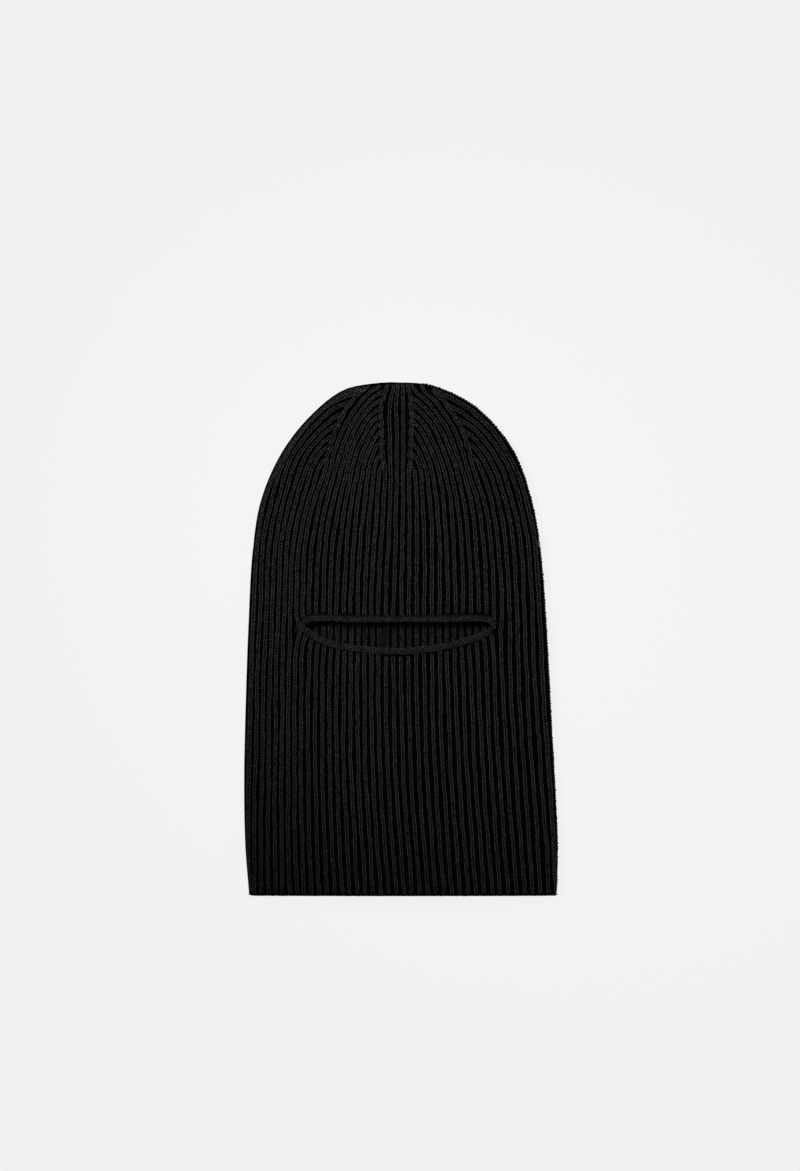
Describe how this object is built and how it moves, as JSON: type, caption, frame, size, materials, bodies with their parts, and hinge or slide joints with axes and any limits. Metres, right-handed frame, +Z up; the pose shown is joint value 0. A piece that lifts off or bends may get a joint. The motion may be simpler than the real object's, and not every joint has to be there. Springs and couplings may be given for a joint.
{
  "type": "balaclava",
  "caption": "Black rib-knit balaclava with a single eye opening edged by two knitted bands, lying flat on its back with the neck open.",
  "frame": {"origin": "centre of the garment's footprint, on the surface it lies on", "axes": "+Z up out of the face, +Y from the neck towards the crown, +X towards the right as the face is looked at"},
  "size_m": [0.2355, 0.385, 0.0211],
  "materials": {
    "rib_yarn": "matte black 1x1 rib knit in a spun acrylic yarn, soft sheen on the rib crests",
    "trim_yarn": "matte black fine stockinette band in the same yarn",
    "linking_yarn": "matte black linking and sewing yarn"
  },
  "bodies": {
    "root": {"head_panel": "rib_yarn", "back_seam": "linking_yarn", "neck_bind_off": "rib_yarn", "upper_eye_trim": "trim_yarn", "lower_eye_trim": "trim_yarn", "upper_trim_linking": "linking_yarn", "lower_trim_linking": "linking_yarn", "left_corner_tack": "linking_yarn", "right_corner_tack": "linking_yarn", "crown_draw_yarn": "linking_yarn"}
  },
  "joints": []
}
